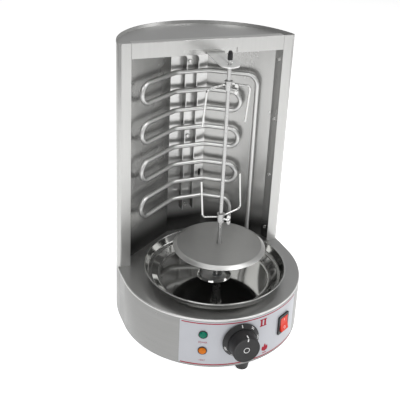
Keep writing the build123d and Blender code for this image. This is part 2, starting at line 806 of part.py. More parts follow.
# --- Controls ----------------------------------------------------------------------------------
label_inner = drum_radius + 0.05
label_outer = label_inner + label_sheet
label_low = foot_height + label_margin
label_high = drum_top - label_margin
label_mid = (label_from + label_to) / 2
with BuildPart() as control_label:
    with BuildSketch(Plane((0, y_front, label_low))):
        with BuildLine():
            span = label_to - label_from
            outer = CenterArc((0, 0), label_outer, label_from - 90, span)
            inner_arc = CenterArc((0, 0), label_inner, label_from - 90, span)
            Line(outer @ 0, inner_arc @ 0)
            Line(outer @ 1, inner_arc @ 1)
        make_face()
    extrude(amount=label_high - label_low)
    bored(on_front(knob_angle, 0, foot_height + knob_height), spindle_radius + 0.8, 12)
    for height in lamp_heights.values():
        bored(on_front(lamp_angle, 0, foot_height + height), lamp_barrel + slip, 12)
    with BuildSketch(on_front(switch_angle, 0, foot_height + switch_height)):
        Rectangle(switch_wide - 2 * switch_border + slip, switch_tall - 2 * switch_border + slip)
    extrude(amount=6, both=True, mode=Mode.SUBTRACT)
save(control_label, "control_label")

knob_z = foot_height + knob_height
with BuildPart() as thermostat_body:
    with BuildSketch(on_front(knob_angle, -4.0, knob_z)):
        RectangleRounded(36, 34, 2)
    extrude(amount=-20)
    with BuildSketch(on_front(knob_angle, -4.0, knob_z)):
        Circle(7)
    extrude(amount=2.8)
    with BuildSketch(on_front(knob_angle, -1.2, knob_z)):
        Circle(spindle_radius + bore_slack)
    extrude(amount=-14, mode=Mode.SUBTRACT)
save(thermostat_body, "thermostat_body")

with BuildPart() as thermostat_spindle:
    with BuildSketch(on_front(knob_angle, -14.0, knob_z)):
        Circle(spindle_radius)
    extrude(amount=14.0 + knob_stand + 16.0)
    chamfer(thermostat_spindle.edges().filter_by(GeomType.CIRCLE), 0.4)
save(thermostat_spindle, "thermostat_spindle")

with BuildPart() as knob_dial:
    dial_base = on_front(knob_angle, knob_stand, knob_z)
    with BuildSketch(dial_base):
        Circle(dial_radius)
    with BuildSketch(dial_base.offset(dial_thickness)):
        Circle(dial_top)
    loft()
    bored(dial_base, spindle_radius + 0.02, 40)
save(knob_dial, "knob_dial")

with BuildPart() as knob_grip:
    grip_base = on_front(knob_angle, knob_stand + dial_thickness, knob_z)
    with BuildSketch(grip_base):
        Circle(cap_grip)
    with BuildSketch(grip_base.offset(grip_length)):
        Circle(cap_grip_end)
    loft()
    front_edge = knob_grip.edges().filter_by(GeomType.CIRCLE).sort_by(Axis.Y)[0]
    chamfer(front_edge, grip_chamfer)
    with BuildSketch(grip_base):
        Circle(spindle_radius + 0.02)
    extrude(amount=12, mode=Mode.SUBTRACT)
save(knob_grip, "knob_grip")


def lamp(name, z):
    """Writes an indicator lamp: a domed lens on a barrel through the drum's wall."""
    face = on_front(lamp_angle, label_sheet + 0.25, z)
    with BuildPart() as lens:
        with BuildSketch(face):
            Circle(lamp_radius)
        head = extrude(amount=lamp_proud)
        rim = head.edges().filter_by(GeomType.CIRCLE).sort_by(Axis.Y)[0]
        fillet(rim, 2.4)
        with BuildSketch(face):
            Circle(lamp_barrel)
        extrude(amount=-22)
    save(lens, name)


for colour, height in lamp_heights.items():
    lamp(f"{colour}_lamp", foot_height + height)

with BuildPart() as lamp_nuts:
    for height in lamp_heights.values():
        with BuildSketch(on_front(lamp_angle, -sheet - 0.4, foot_height + height)):
            Circle(8)
            Circle(lamp_barrel + bore_slack, mode=Mode.SUBTRACT)
        extrude(amount=-3)
save(lamp_nuts, "lamp_nuts")

switch_z = foot_height + switch_height
hole_wide = switch_wide - 2 * switch_border
hole_tall = switch_tall - 2 * switch_border
with BuildPart() as switch_body:
    switch_face = on_front(switch_angle, label_sheet + 0.1, switch_z)
    with BuildSketch(switch_face):
        RectangleRounded(switch_wide, switch_tall, 1.5)
    bezel = extrude(amount=switch_proud)
    with BuildSketch(switch_face):
        Rectangle(hole_wide, hole_tall)
    extrude(amount=-switch_depth)
    with BuildSketch(switch_face.offset(switch_proud)):
        Rectangle(hole_wide - 1.6, hole_tall - 1.6)
    extrude(amount=-switch_proud - 9, mode=Mode.SUBTRACT)
save(switch_body, "switch_body")

with BuildPart() as switch_rocker:
    half_tall = hole_tall / 2 - 2.1
    middle = switch_face.offset(-1.0)
    leaning = middle.z_dir.rotate(Axis(middle.origin, middle.x_dir), rocker_lean)
    section = Plane(middle.origin, x_dir=leaning, z_dir=-middle.x_dir)
    with BuildSketch(section):
        with BuildLine():
            Polyline(
                (-4.5, -4.5),
                (4.0, -half_tall),
                (5.6, -half_tall),
                (4.4, 0),
                (5.6, half_tall),
                (4.0, half_tall),
                (-4.5, 4.5),
                close=True,
            )
        make_face()
    extrude(amount=hole_wide / 2 - 1.2, both=True)
save(switch_rocker, "switch_rocker")

# --- Mains inlet and wiring --------------------------------------------------------------------
gland_z = foot_height + gland_height
with BuildPart() as cord_gland:
    gland_face = on_back(gland_angle, 0.6, gland_z)
    with BuildSketch(gland_face):
        RegularPolygon(gland_radius, 6)
    extrude(amount=4)
    with BuildSketch(gland_face.offset(4)):
        Circle(gland_radius - 1.5)
    extrude(amount=5, taper=18)
    with BuildSketch(gland_face):
        Circle(gland_radius - 2)
    extrude(amount=-10)
    bored(gland_face, cord_radius, 60)
save(cord_gland, "cord_gland")

with BuildPart() as terminal_block:
    with BuildSketch(Plane((0, y_rear + 40, foot_height + sheet))):
        Rectangle(44, 18)
    extrude(amount=16)
    with BuildSketch(Plane((0, y_rear + 40, foot_height + sheet + 16))):
        with GridLocations(14, 0, 3, 1):
            Circle(3)
    extrude(amount=-8, mode=Mode.SUBTRACT)
save(terminal_block, "terminal_block")
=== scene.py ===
import json
from math import atan2, cos, pi, radians, sin, tan

import bpy
from mathutils import Matrix, Vector


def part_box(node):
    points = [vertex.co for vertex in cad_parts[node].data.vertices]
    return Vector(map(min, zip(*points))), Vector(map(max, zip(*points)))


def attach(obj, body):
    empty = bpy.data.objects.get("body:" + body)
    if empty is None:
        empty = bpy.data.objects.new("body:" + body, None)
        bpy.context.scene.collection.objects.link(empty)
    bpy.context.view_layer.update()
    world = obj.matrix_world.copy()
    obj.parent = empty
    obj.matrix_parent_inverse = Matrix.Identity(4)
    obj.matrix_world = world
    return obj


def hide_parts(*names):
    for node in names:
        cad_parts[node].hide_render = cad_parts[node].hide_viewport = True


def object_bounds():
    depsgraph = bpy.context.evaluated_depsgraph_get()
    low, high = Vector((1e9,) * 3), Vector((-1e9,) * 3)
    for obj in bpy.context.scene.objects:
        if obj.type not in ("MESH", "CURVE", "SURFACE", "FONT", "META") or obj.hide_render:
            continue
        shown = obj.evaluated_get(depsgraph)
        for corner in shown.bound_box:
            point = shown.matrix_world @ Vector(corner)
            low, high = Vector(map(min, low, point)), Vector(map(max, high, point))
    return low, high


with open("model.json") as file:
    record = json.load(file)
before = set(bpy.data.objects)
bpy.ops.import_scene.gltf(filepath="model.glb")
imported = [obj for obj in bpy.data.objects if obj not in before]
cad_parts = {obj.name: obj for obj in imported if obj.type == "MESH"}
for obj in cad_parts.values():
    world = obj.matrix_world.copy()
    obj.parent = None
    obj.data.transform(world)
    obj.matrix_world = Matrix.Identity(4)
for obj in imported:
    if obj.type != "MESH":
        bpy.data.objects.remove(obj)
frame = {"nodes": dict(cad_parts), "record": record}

nodes = frame["nodes"]
cadLow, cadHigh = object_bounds()


def middle(name):
    low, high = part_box(name)
    return (Vector(low) + Vector(high)) / 2


drumLow, drumHigh = (Vector(corner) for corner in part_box("base_shell"))
drumRadius = (drumHigh.x - drumLow.x) / 2
frontCentre = drumLow.y + drumRadius  # centre of the drum's round front, along y
backCentre = drumHigh.y - drumRadius
spit = middle("spit_rod")

print("camera, floor and lights")

lens = dict(azimuth=-24.0, elevation=21.3, roll=2.94, distance=1.10276, right=-0.00394, up=0.13546,
            aim=(0, 0.0002, 0.2), focal=60.57, shiftX=-0.0272, shiftY=-0.1757)


def addCamera():
    az, el, roll = (radians(lens[key]) for key in ("azimuth", "elevation", "roll"))
    back = Vector((sin(az) * cos(el), -cos(az) * cos(el), sin(el)))
    level = Vector((cos(az), sin(az), 0))
    upright = back.cross(level)
    right = cos(roll) * level + sin(roll) * upright
    up = -sin(roll) * level + cos(roll) * upright
    bpy.ops.object.camera_add()
    camera = bpy.context.object
    spot = Vector(lens["aim"]) + back * lens["distance"] + right * lens["right"] + up * lens["up"]
    turn = Matrix((right, up, back)).transposed().to_4x4()
    camera.matrix_world = Matrix.Translation(spot) @ turn
    camera.data.lens = lens["focal"]
    camera.data.sensor_width = 36
    camera.data.shift_x = lens["shiftX"]
    camera.data.shift_y = lens["shiftY"]
    camera.data.clip_start = 0.05
    camera.data.clip_end = 50
    bpy.context.scene.camera = camera


addCamera()

studio = dict(floorSize=16.0, floorTone=(0.88, 0.88, 0.88), floorGlow=0.70, viewTone="Standard",
              skyBack=0.46, skyFront=0.20, skyTop=0.45, skyRight=0.55, blend=0.75, fadeFrom=0.35, fadeTo=0.95)

lamps = [
    dict(name="keySoftbox", at=(-1.5, -1.5, 2.1), aim=(0, 0, 0.2), size=(1.5, 1.5), power=26),
    dict(name="fillSoftbox", at=(2.0, -1.0, 1.3), aim=(0, 0, 0.2), size=(0.9, 1.6), power=12),
    dict(name="topSoftbox", at=(0.0, 0.3, 2.9), aim=(0, 0, 0), size=(2.4, 2.4), power=24),
    dict(name="rimSoftbox", at=(0.9, -1.3, 2.5), aim=(0, -0.1, 0.1), size=(1.1, 1.1), power=22),
]


def addLamps():
    for lamp in lamps:
        bpy.ops.object.light_add(type="AREA", location=lamp["at"])
        light = bpy.context.object
        light.name = lamp["name"]
        light.data.shape = "RECTANGLE"
        light.data.size, light.data.size_y = lamp["size"]
        light.data.energy = lamp["power"]
        aim = Vector(lamp["aim"]) - Vector(lamp["at"])
        light.rotation_mode = "QUATERNION"
        light.rotation_quaternion = aim.to_track_quat("-Z", "Y")


def addSky():
    world = bpy.data.worlds.new("studio")
    bpy.context.scene.world = world
    world.use_nodes = True
    tree = world.node_tree
    tree.nodes.clear()
    out = tree.nodes.new("ShaderNodeOutputWorld")
    glow = tree.nodes.new("ShaderNodeBackground")
    place = tree.nodes.new("ShaderNodeTexCoord")
    axes = tree.nodes.new("ShaderNodeSeparateXYZ")
    ramp = tree.nodes.new("ShaderNodeMapRange")
    ramp.inputs["From Min"].default_value = -studio["blend"]
    ramp.inputs["From Max"].default_value = studio["blend"]
    ramp.inputs["To Min"].default_value = studio["skyFront"]
    ramp.inputs["To Max"].default_value = studio["skyBack"]
    ramp.interpolation_type = "SMOOTHSTEP"
    height = tree.nodes.new("ShaderNodeMapRange")
    height.inputs["From Min"].default_value = studio["fadeFrom"]
    height.inputs["From Max"].default_value = studio["fadeTo"]
    height.inputs["To Min"].default_value = 1.0
    height.inputs["To Max"].default_value = studio["skyTop"]
    both = tree.nodes.new("ShaderNodeMath")
    both.operation = "MULTIPLY"
    side = tree.nodes.new("ShaderNodeMath")
    side.operation = "MULTIPLY_ADD"
    side.inputs[1].default_value = studio["skyRight"]
    side.inputs[2].default_value = 1.0
    sided = tree.nodes.new("ShaderNodeMath")
    sided.operation = "MULTIPLY"
    link = tree.links.new
    link(place.outputs["Generated"], axes.inputs[0])
    link(axes.outputs["Y"], ramp.inputs["Value"])
    link(axes.outputs["Z"], height.inputs["Value"])
    link(ramp.outputs[0], both.inputs[0])
    link(height.outputs[0], both.inputs[1])
    link(axes.outputs["X"], side.inputs[0])
    link(both.outputs[0], sided.inputs[0])
    link(side.outputs[0], sided.inputs[1])
    link(sided.outputs[0], glow.inputs["Strength"])
    link(glow.outputs[0], out.inputs["Surface"])
    bpy.context.scene.view_settings.view_transform = studio["viewTone"]


addLamps()
addSky()

print("shader groups")


def newGroup(name, inputs, outputs):
    group = bpy.data.node_groups.new(name, "ShaderNodeTree")
    for label, kind, value in inputs:
        socket = group.interface.new_socket(label, in_out="INPUT", socket_type=kind)
        if value is not None:
            socket.default_value = value
    for label, kind in outputs:
        group.interface.new_socket(label, in_out="OUTPUT", socket_type=kind)
    return group, group.nodes.new("NodeGroupInput"), group.nodes.new("NodeGroupOutput")


number, vector = "NodeSocketFloat", "NodeSocketVector"


def calc(tree, operation, first, second, third=None):
    node = tree.nodes.new("ShaderNodeMath")
    node.operation = operation
    for index, value in enumerate((first, second, third)):
        if value is None:
            continue
        if isinstance(value, (int, float)):
            node.inputs[index].default_value = value
        else:
            tree.links.new(value, node.inputs[index])
    return node.outputs[0]


def noise(tree, where, scale, detail=3.0, rough=0.55):
    node = tree.nodes.new("ShaderNodeTexNoise")
    node.inputs["Detail"].default_value = detail
    node.inputs["Roughness"].default_value = rough
    for key, value in (("Scale", scale), ("Vector", where)):
        if isinstance(value, (int, float)):
            node.inputs[key].default_value = value
        elif value is not None:
            tree.links.new(value, node.inputs[key])
    return node.outputs["Fac"]


def tint(tree, mask, low, high):
    node = tree.nodes.new("ShaderNodeMix")
    node.data_type = "RGBA"
    tree.links.new(mask, node.inputs["Factor"])
    for key, value in (("A", low), ("B", high)):
        socket = [s for s in node.inputs if s.name == key and s.type == "RGBA"][0]
        if isinstance(value, tuple):
            socket.default_value = (*value, 1)
        else:
            tree.links.new(value, socket)
    return [s for s in node.outputs if s.type == "RGBA"][0]


def buildBrushing():
    # fine drawn lines: the vector comes in already stretched along the brushing
    group, into, out = newGroup("brushedGrain",
                                [("Vector", vector, None), ("Fineness", number, 1.0), ("Depth", number, 0.5)],
                                [("Shade", number), ("Height", number)])
    fine = noise(group, into.outputs["Vector"], into.outputs["Fineness"], 4.0, 0.7)
    coarse = calc(group, "MULTIPLY", into.outputs["Fineness"], 0.21)
    broad = noise(group, into.outputs["Vector"], coarse, 2.0)
    both = calc(group, "MULTIPLY_ADD", broad, 0.5, calc(group, "MULTIPLY", fine, 0.5))
    centred = calc(group, "SUBTRACT", both, 0.5)
    group.links.new(calc(group, "MULTIPLY_ADD", centred, into.outputs["Depth"], 0.5), out.inputs["Shade"])
    group.links.new(both, out.inputs["Height"])
    return group


def buildHandling():
    # smudges and wiped streaks that change the gloss from place to place
    group, into, out = newGroup("handlingMarks",
                                [("Vector", vector, None), ("Size", number, 14.0), ("Amount", number, 0.1)],
                                [("Gloss", number), ("Mask", number)])
    blotch = noise(group, into.outputs["Vector"], into.outputs["Size"], 5.0, 0.6)
    ramp = group.nodes.new("ShaderNodeMapRange")
    ramp.inputs["From Min"].default_value = 0.42
    ramp.inputs["From Max"].default_value = 0.68
    group.links.new(blotch, ramp.inputs["Value"])
    group.links.new(ramp.outputs[0], out.inputs["Mask"])
    group.links.new(calc(group, "MULTIPLY", ramp.outputs[0], into.outputs["Amount"]), out.inputs["Gloss"])
    return group


def buildPebble():
    # moulded plastic and rubber: a fine pebbled skin with faint rub marks
    group, into, out = newGroup("mouldedSkin", [("Vector", vector, None), ("Fineness", number, 900.0)],
                                [("Shade", number), ("Height", number)])
    fine = noise(group, into.outputs["Vector"], into.outputs["Fineness"], 2.0)
    broad = noise(group, into.outputs["Vector"], 60.0, 4.0)
    shade = calc(group, "MULTIPLY_ADD", fine, 0.35, calc(group, "MULTIPLY", broad, 0.65))
    group.links.new(shade, out.inputs["Shade"])
    group.links.new(fine, out.inputs["Height"])
    return group


brushedGrain = buildBrushing()
handlingMarks = buildHandling()
mouldedSkin = buildPebble()


def useGroup(tree, group, where, **values):
    node = tree.nodes.new("ShaderNodeGroup")
    node.node_tree = group
    tree.links.new(where, node.inputs["Vector"])
    for key, value in values.items():
        node.inputs[key].default_value = value
    return node


def blankMaterial(name):
    material = bpy.data.materials.new(name)
    material.use_nodes = True
    tree = material.node_tree
    shader = tree.nodes["Principled BSDF"]
    place = tree.nodes.new("ShaderNodeTexCoord").outputs["Object"]
    return material, tree, shader, place


def stretched(tree, where, scale):
    node = tree.nodes.new("ShaderNodeMapping")
    node.inputs["Scale"].default_value = scale
    tree.links.new(where, node.inputs["Vector"])
    return node.outputs[0]


def bumped(tree, shader, height, strength, distance=0.0002):
    node = tree.nodes.new("ShaderNodeBump")
    node.inputs["Strength"].default_value = strength
    node.inputs["Distance"].default_value = distance
    tree.links.new(height, node.inputs["Height"])
    tree.links.new(node.outputs[0], shader.inputs["Normal"])


def metalFinish(name, finish):
    material, tree, shader, place = blankMaterial(name)
    shader.inputs["Metallic"].default_value = finish.get("metallic", 1.0)
    along = stretched(tree, place, finish["stretch"])
    grain = useGroup(tree, brushedGrain, along, Fineness=finish["fineness"], Depth=finish["depth"])
    marks = useGroup(tree, handlingMarks, place, Size=finish["markSize"], Amount=finish["marks"])
    dark, light = finish["tones"]
    shade = tint(tree, grain.outputs["Shade"], dark, light)
    if "stain" in finish:
        # painted shade: the sheet's colour is darkened towards its foot, for the shade at the bottom of the
        # cavity under the disc
        low, high, tone = finish["stain"]
        axes = tree.nodes.new("ShaderNodeSeparateXYZ")
        tree.links.new(place, axes.inputs[0])
        rise = tree.nodes.new("ShaderNodeMapRange")
        rise.interpolation_type = "SMOOTHSTEP"
        rise.inputs["From Min"].default_value = low
        rise.inputs["From Max"].default_value = high
        tree.links.new(axes.outputs["Z"], rise.inputs["Value"])
        shade = tint(tree, rise.outputs[0], tone, shade)
    if "edge" in finish:
        # painted reflection: a round bar's flanks are darkened in the colour, as if they mirrored the dark
        # room
        darkFlankReflection = tree.nodes.new("ShaderNodeLayerWeight")
        darkFlankReflection.inputs["Blend"].default_value = 0.35
        shade = tint(tree, darkFlankReflection.outputs["Facing"], shade, finish["edge"])
    tree.links.new(shade, shader.inputs["Base Color"])
    spread = finish["roughSpread"]
    rough = calc(tree, "MULTIPLY_ADD", grain.outputs["Shade"], spread, finish["rough"] - spread / 2)
    tree.links.new(calc(tree, "ADD", rough, marks.outputs["Gloss"]), shader.inputs["Roughness"])
    bumped(tree, shader, grain.outputs["Height"], finish["bump"])
    return material


def plasticFinish(name, finish):
    material, tree, shader, place = blankMaterial(name)
    skin = useGroup(tree, mouldedSkin, place, Fineness=finish["fineness"])
    marks = useGroup(tree, handlingMarks, place, Size=40.0, Amount=finish["marks"])
    tree.links.new(tint(tree, skin.outputs["Shade"], *finish["tones"]), shader.inputs["Base Color"])
    tree.links.new(calc(tree, "ADD", marks.outputs["Gloss"], finish["rough"]), shader.inputs["Roughness"])
    shader.inputs["Specular IOR Level"].default_value = finish.get("specular", 0.5)
    bumped(tree, shader, skin.outputs["Height"], finish["bump"], 0.0001)
    return material


print("finishes")

metals = {
    "stainless": dict(
        tones=((0.46, 0.46, 0.45), (0.56, 0.56, 0.55)), metallic=0.75, stretch=(1, 1, 0.02),
        fineness=900.0, depth=1.0, rough=0.30, roughSpread=0.10, marks=0.06, markSize=9.0, bump=0.05),
    "base_steel": dict(
        tones=((0.22, 0.22, 0.216), (0.29, 0.29, 0.285)), metallic=0.9, stretch=(0.02, 0.02, 1),
        fineness=900.0, depth=1.0, rough=0.28, roughSpread=0.10, marks=0.08, markSize=11.0, bump=0.05),
    "inner_steel": dict(
        tones=((0.43, 0.43, 0.42), (0.50, 0.50, 0.49)), stretch=(1, 1, 0.05), fineness=500.0, depth=0.8,
        rough=0.20, roughSpread=0.03, marks=0.04, markSize=8.0, bump=0.002),
    "zinc_steel": dict(
        tones=((0.44, 0.45, 0.46), (0.60, 0.61, 0.63)), stretch=(1, 1, 1), fineness=120.0, depth=1.0,
        rough=0.42, roughSpread=0.15, marks=0.10, markSize=30.0, bump=0.05),
    "tube_steel": dict(
        tones=((0.66, 0.66, 0.65), (0.75, 0.75, 0.74)), metallic=0.7, edge=(0.03, 0.03, 0.028),
        stretch=(1, 1, 1), fineness=260.0, depth=0.6, rough=0.34, roughSpread=0.03, marks=0.03,
        markSize=40.0, bump=0.002),
    "spit_steel": dict(
        tones=((0.46, 0.46, 0.455), (0.56, 0.56, 0.555)), metallic=0.8, edge=(0.12, 0.12, 0.12),
        stretch=(1, 1, 0.05), fineness=1200.0, depth=0.8, rough=0.26, roughSpread=0.08, marks=0.06,
        markSize=70.0, bump=0.04),
    "pan_steel": dict(
        tones=((0.37, 0.37, 0.36), (0.44, 0.44, 0.43)), stretch=(1, 1, 1), fineness=60.0, depth=0.6,
        rough=0.07, roughSpread=0.02, marks=0.03, markSize=30.0, bump=0.05),
    "screw_steel": dict(
        tones=((0.60, 0.60, 0.59), (0.78, 0.78, 0.77)), stretch=(1, 1, 1), fineness=400.0, depth=0.8,
        rough=0.22, roughSpread=0.08, marks=0.06, markSize=90.0, bump=0.03),
    "wire_steel": dict(
        tones=((0.60, 0.60, 0.59), (0.72, 0.72, 0.71)), edge=(0.10, 0.10, 0.10), stretch=(1, 1, 1),
        fineness=300.0, depth=0.6, rough=0.14, roughSpread=0.05, marks=0.05, markSize=90.0, bump=0.02),
    "aluminium": dict(
        tones=((0.60, 0.60, 0.61), (0.78, 0.78, 0.79)), stretch=(1, 1, 1), fineness=300.0, depth=0.8,
        rough=0.40, roughSpread=0.12, marks=0.08, markSize=40.0, bump=0.05),
    "motor_paint": dict(
        tones=((0.03, 0.03, 0.03), (0.07, 0.07, 0.07)), stretch=(1, 1, 1), fineness=300.0, depth=0.8,
        rough=0.45, roughSpread=0.10, marks=0.10, markSize=40.0, bump=0.05),
}
plastics = {
    "foot_rubber": dict(
        tones=((0.012, 0.012, 0.012), (0.035, 0.035, 0.035)), fineness=700.0, rough=0.62, marks=0.15,
        bump=0.25),
    "black_plastic": dict(
        tones=((0.006, 0.006, 0.007), (0.016, 0.016, 0.017)), specular=0.35, fineness=1100.0, rough=0.36,
        marks=0.12, bump=0.15),
    "knob_grey": dict(
        tones=((0.008, 0.008, 0.009), (0.020, 0.020, 0.021)), specular=0.35, fineness=1100.0, rough=0.46,
        marks=0.12, bump=0.20),
    "label_film": dict(
        tones=((0.43, 0.44, 0.475), (0.48, 0.49, 0.52)), fineness=500.0, rough=0.34, marks=0.06,
        bump=0.02),
    "green_lens": dict(
        tones=((0.0, 0.10, 0.06), (0.001, 0.20, 0.12)), specular=0.2, fineness=300.0, rough=0.14,
        marks=0.05, bump=0.02),
    "orange_lens": dict(
        tones=((0.42, 0.09, 0.001), (0.74, 0.21, 0.004)), specular=0.2, fineness=300.0, rough=0.14,
        marks=0.05, bump=0.02),
    "red_rocker": dict(
        tones=((0.62, 0.022, 0.006), (0.78, 0.040, 0.012)), specular=0.25, fineness=300.0, rough=0.34,
        marks=0.08, bump=0.03),
    "white_ceramic": dict(
        tones=((0.70, 0.69, 0.65), (0.84, 0.83, 0.79)), fineness=400.0, rough=0.55, marks=0.10,
        bump=0.10),
}
finishes = {name: metalFinish(name + "Finish", finish) for name, finish in metals.items()}
finishes.update({name: plasticFinish(name + "Finish", finish) for name, finish in plastics.items()})


def variant(name, metal, **changes):
    # one of the metals above with some of its values changed
    return metalFinish(name, dict(metals[metal], **changes))


# painted shade at the foot of the cavity: from height, to height and dark colour, for the side panels and for
# the flat back
cavityFootShade = dict(side=(0.116, 0.150, (0.05, 0.05, 0.048)), back=(0.124, 0.150, (0.035, 0.035, 0.034)))
linerFinish = variant("linerFinish", "inner_steel", metallic=0.72, rough=0.24, stain=cavityFootShade["side"])
# painted light: the flat back is a brighter copy of the liner steel; it also carries the painted shade at the
# foot
litBackFinish = variant("litBackFinish", "inner_steel", metallic=0.62, stain=cavityFootShade["back"],
                     tones=((0.64, 0.64, 0.63), (0.72, 0.72, 0.71)))
# painted shade: the bracket is a darker copy of the liner steel, for the shade inside its channel
bracketShadedFinish = variant("bracketShadedFinish", "inner_steel", rough=0.36,
                        tones=((0.15, 0.15, 0.145), (0.22, 0.22, 0.215)))
# painted light: the top plate is a lighter copy of the drum's base steel, as if lit from above
plateLitFinish = variant("plateLitFinish", "base_steel", rough=0.32,
                      tones=((0.44, 0.44, 0.435), (0.53, 0.53, 0.525)))
# painted shade: the recessed lid is a darker copy of the stainless
lidShadedFinish = variant("lidShadedFinish", "stainless", tones=((0.36, 0.36, 0.355), (0.44, 0.44, 0.435)), rough=0.34)
# painted light: the strap is a much lighter copy of the stainless, for the light it catches
strapLitFinish = variant("strapLitFinish", "stainless", tones=((0.74, 0.74, 0.73), (0.86, 0.86, 0.85)), rough=0.42)
ownFinish = dict(element_bracket=bracketShadedFinish, support_strap=strapLitFinish, cavity_liner=linerFinish,
                 top_lid=lidShadedFinish, base_top_plate=plateLitFinish)

slotOf = {part["node"]: part["material_slot"] for part in frame["record"]["subparts"]}
for name, node in nodes.items():
    node.data.materials.clear()
    node.data.materials.append(ownFinish.get(name, finishes[slotOf[name]]))


def discMaterial():
    # faint rings left by turning, as fine bands round the spit
    material, tree, shader, place = blankMaterial("discFinish")
    shader.inputs["Metallic"].default_value = 1.0
    centre = tree.nodes.new("ShaderNodeMapping")
    centre.inputs["Location"].default_value = (-spit.x, -spit.y, 0)
    tree.links.new(place, centre.inputs["Vector"])
    flat = tree.nodes.new("ShaderNodeVectorMath")
    flat.operation = "MULTIPLY"
    flat.inputs[1].default_value = (1, 1, 0)
    tree.links.new(centre.outputs[0], flat.inputs[0])
    reach = tree.nodes.new("ShaderNodeVectorMath")
    reach.operation = "LENGTH"
    tree.links.new(flat.outputs[0], reach.inputs[0])
    rings = useGroup(tree, brushedGrain, reach.outputs["Value"], Fineness=1600.0, Depth=0.9)
    marks = useGroup(tree, handlingMarks, place, Size=24.0, Amount=0.10)
    shade = tint(tree, rings.outputs["Shade"], (0.38, 0.38, 0.375), (0.46, 0.46, 0.455))
    tree.links.new(shade, shader.inputs["Base Color"])
    rough = calc(tree, "MULTIPLY_ADD", rings.outputs["Shade"], 0.10, 0.34)
    tree.links.new(calc(tree, "ADD", rough, marks.outputs["Gloss"]), shader.inputs["Roughness"])
    bumped(tree, shader, rings.outputs["Height"], 0.04)
    return material


discFinish = discMaterial()
# painted shade: the disc's underside is nearly black, for the shade under the disc
discUnderShade = variant("discUnderShade", "inner_steel", rough=0.5, tones=((0.045, 0.045, 0.045), (0.08, 0.08, 0.08)))
bevelFinish = variant("bevelFinish", "screw_steel", rough=0.34,
                      tones=((0.46, 0.46, 0.45), (0.58, 0.58, 0.57)))
# painted highlight: a much lighter finish for the top plate's rolled edge
rimHighlightFinish = variant("rimHighlightFinish", "base_steel", tones=((0.66, 0.66, 0.65), (0.78, 0.78, 0.77)), rough=0.40)
printWhite = plasticFinish("printWhite", dict(tones=((0.70, 0.70, 0.70), (0.84, 0.84, 0.84)), fineness=900.0,
                                              rough=0.4, marks=0.1, bump=0.02))
printRed = plasticFinish("printRed", dict(tones=((0.30, 0.006, 0.022), (0.38, 0.012, 0.032)), specular=0.15,
                                          fineness=900.0, rough=0.4, marks=0.1, bump=0.02))


def floorMaterial():
    material, tree, shader, place = blankMaterial("paleFloor")
    soft = noise(tree, place, 2.0, 3.0)
    tone = studio["floorTone"]
    paler = tuple(value * 1.03 for value in tone)
    tree.links.new(tint(tree, soft, tone, paler), shader.inputs["Base Color"])
    shader.inputs["Roughness"].default_value = 0.85
    shader.inputs["Specular IOR Level"].default_value = 0.1
    shader.inputs["Emission Color"].default_value = (1, 1, 1, 1)
    shader.inputs["Emission Strength"].default_value = studio["floorGlow"]
    return material


bpy.ops.object.select_all(action="DESELECT")
bpy.ops.mesh.primitive_plane_add(size=studio["floorSize"], location=(0, 0, cadLow.z))
floor = bpy.context.object
floor.name = "studioFloor"
floor.data.materials.append(floorMaterial())

print("modelling helpers")


def pick(*chosen):
    bpy.ops.object.select_all(action="DESELECT")
    for obj in chosen:
        obj.select_set(True)
    bpy.context.view_layer.objects.active = chosen[0]


def rounded(points, radius, steps=5):
    # a profile with its inner corners turned into arcs
    line = [points[0]]
    for before, corner, after in zip(points, points[1:], points[2:]):
        spot = Vector(corner)
        back, ahead = Vector(before) - spot, Vector(after) - spot
        reach = min(radius, back.length * 0.45, ahead.length * 0.45)
        start, end = spot + back.normalized() * reach, spot + ahead.normalized() * reach
        for step in range(steps + 1):
            t = step / steps
            line.append(tuple(start * (1 - t) ** 2 + spot * 2 * t * (1 - t) + end * t ** 2))
    return line + [points[-1]]


def thickened(line, gap):
    # the same profile moved sideways by the sheet's thickness
    moved = []
    for index, point in enumerate(line):
        ahead = Vector(line[min(index + 1, len(line) - 1)]) - Vector(line[max(index - 1, 0)])
        side = Vector((ahead.y, -ahead.x)).normalized() * gap
        moved.append((point[0] + side.x, point[1] + side.y))
    return moved


pole = 0.0000001  # a ring this small closes on itself


def turned(name, profile, sides=128, smooth=35):
    # a lathed piece about z: one ring, pulled up and scaled from point to point of its profile
    bpy.ops.object.select_all(action="DESELECT")
    bpy.ops.mesh.primitive_circle_add(vertices=sides, radius=profile[0][0], location=(0, 0, profile[0][1]))
    obj = bpy.context.object
    obj.name = name
    bpy.ops.object.mode_set(mode="EDIT")
    bpy.ops.mesh.select_all(action="SELECT")
    for (near, low), (far, high) in zip(profile, profile[1:]):
        bpy.ops.mesh.extrude_edges_move(TRANSFORM_OT_translate=dict(value=(0, 0, high - low)))
        bpy.ops.transform.resize(value=(far / near, far / near, 1), center_override=(0, 0, high))
    bpy.ops.mesh.select_all(action="SELECT")
    bpy.ops.mesh.remove_doubles(threshold=0.000005)
    bpy.ops.mesh.normals_make_consistent(inside=False)
    bpy.ops.object.mode_set(mode="OBJECT")
    bpy.ops.object.transform_apply(location=True, rotation=True, scale=True)
    if smooth:
        bpy.ops.object.shade_smooth_by_angle(angle=radians(smooth))
    return obj


def put(obj, place):
    # sets a piece down at its place on the oven, with the place kept in its mesh
    pick(obj)
    obj.matrix_world = place @ obj.matrix_world
    bpy.ops.object.transform_apply(location=True, rotation=True, scale=True)
    return obj


def onFront(angle, stand, height):
    a = radians(angle)
    out = Vector((sin(a), -cos(a), 0))
    spot = Vector((0, frontCentre, height)) + out * (drumRadius + stand)
    turn = Matrix(((cos(a), sin(a), 0), (0, 0, 1), out)).transposed().to_4x4()
    return Matrix.Translation(spot) @ turn


